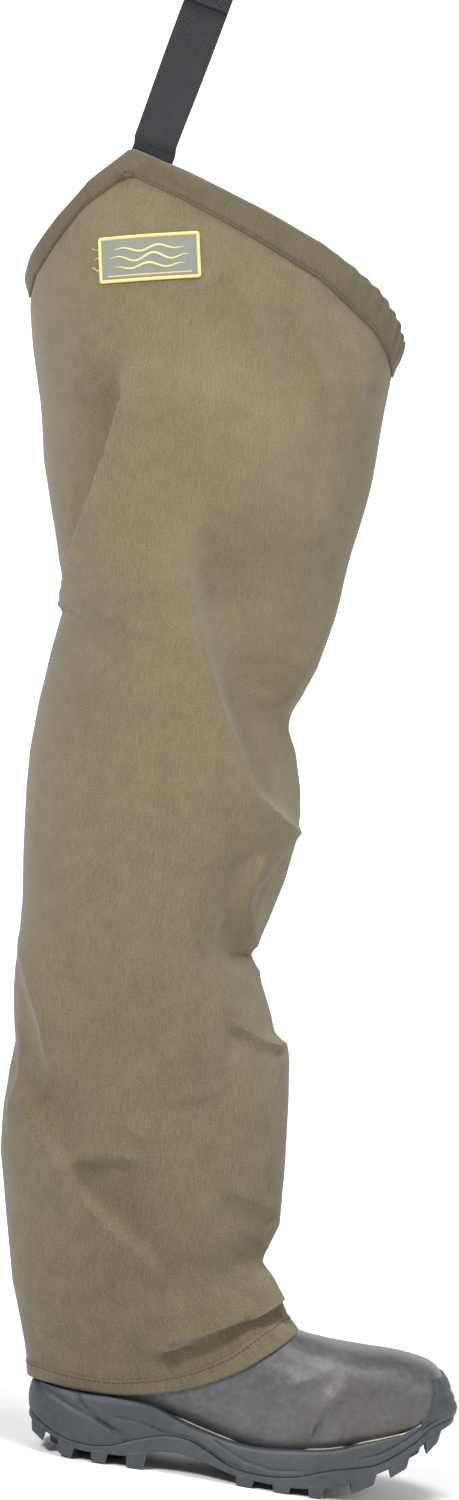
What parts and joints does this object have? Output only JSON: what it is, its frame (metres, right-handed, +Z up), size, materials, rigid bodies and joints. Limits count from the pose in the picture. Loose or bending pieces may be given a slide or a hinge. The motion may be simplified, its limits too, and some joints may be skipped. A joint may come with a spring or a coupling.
{
  "type": "hip wader",
  "caption": "Boot-foot hip wader for one leg: lugged rubber boot, fabric leg rising to a slanted rim with a peak, and a webbing strap with a side-release buckle and belt loop.",
  "frame": {"origin": "centre of the bounding box on the ground plane under the sole", "axes": "+X towards the toe, +Y towards the inner side of the right leg, +Z up the leg"},
  "size_m": [0.4126, 0.168, 1.1983],
  "materials": {
    "sole_rubber": "matte moulded rubber",
    "upper_rubber": "semi-gloss grained rubber",
    "leg_fabric": "matte coated plain weave",
    "hem_fabric": "matte coated plain weave, folded and stitched",
    "lining": "knit-faced neoprene",
    "webbing": "ribbed woven webbing",
    "buckle_plastic": "satin acetal",
    "label": "woven label",
    "label_edge": "merrowed thread",
    "steel": "spring steel",
    "board": "stiffener board"
  },
  "bodies": {
    "wader": {"outsole": "sole_rubber", "midsole": "sole_rubber", "toe_bumper": "sole_rubber", "steel_shank": "steel", "boot_upper": "upper_rubber", "toe_puff": "board", "heel_counter": "board", "boot_lining": "lining", "footbed": "lining", "shaft_collar": "upper_rubber", "leg_shell": "leg_fabric", "bottom_hem": "hem_fabric", "top_hem": "hem_fabric", "inseam_tape": "lining", "label_patch": "label", "label_border": "label_edge", "strap_sewn_end": "webbing"},
    "strap": {"strap_riser": "webbing"},
    "socket": {"buckle_socket": "buckle_plastic"},
    "plug": {"buckle_plug": "buckle_plastic"},
    "front_prong": {"prong_front": "buckle_plastic"},
    "rear_prong": {"prong_rear": "buckle_plastic"},
    "loop": {"belt_loop": "webbing"},
    "slider": {"keeper": "buckle_plastic"}
  },
  "joints": [
    {"name": "strap_fold", "type": "hinge", "parent": "wader", "child": "strap", "pos_m": [-0.12845, -0.06949, 0.9128], "axis": [0.9411, -0.2663, -0.2085], "range_deg": [-80, 100]},
    {"name": "socket_swing", "type": "hinge", "parent": "strap", "child": "socket", "pos_m": [-0.0999, -0.06949, 1.04168], "axis": [0.9763, 0, -0.2163], "range_deg": [-40, 40]},
    {"name": "buckle_release", "type": "slide", "parent": "socket", "child": "plug", "axis": [0.2163, 0, 0.9763], "range_m": [0, 0.034]},
    {"name": "front_prong_squeeze", "type": "hinge", "parent": "plug", "child": "front_prong", "pos_m": [-0.07856, -0.06949, 1.07792], "axis": [0, 1, 0], "range_deg": [0, 12.7]},
    {"name": "rear_prong_squeeze", "type": "hinge", "parent": "plug", "child": "rear_prong", "pos_m": [-0.10394, -0.06949, 1.08354], "axis": [0, -1, 0], "range_deg": [0, 12.7]},
    {"name": "loop_swing", "type": "hinge", "parent": "plug", "child": "loop", "pos_m": [-0.08864, -0.06949, 1.09254], "axis": [0.9763, 0, -0.2163], "range_deg": [-70, 70]},
    {"name": "keeper_slide", "type": "slide", "parent": "loop", "child": "slider", "axis": [0.2163, 0, 0.9763], "range_m": [-0.012, 0.012]}
  ],
  "couplings": [
    {"joint": "front_prong_squeeze", "follows": "buckle_release", "rad_per_m": 6.5},
    {"joint": "rear_prong_squeeze", "follows": "buckle_release", "rad_per_m": 6.5}
  ]
}
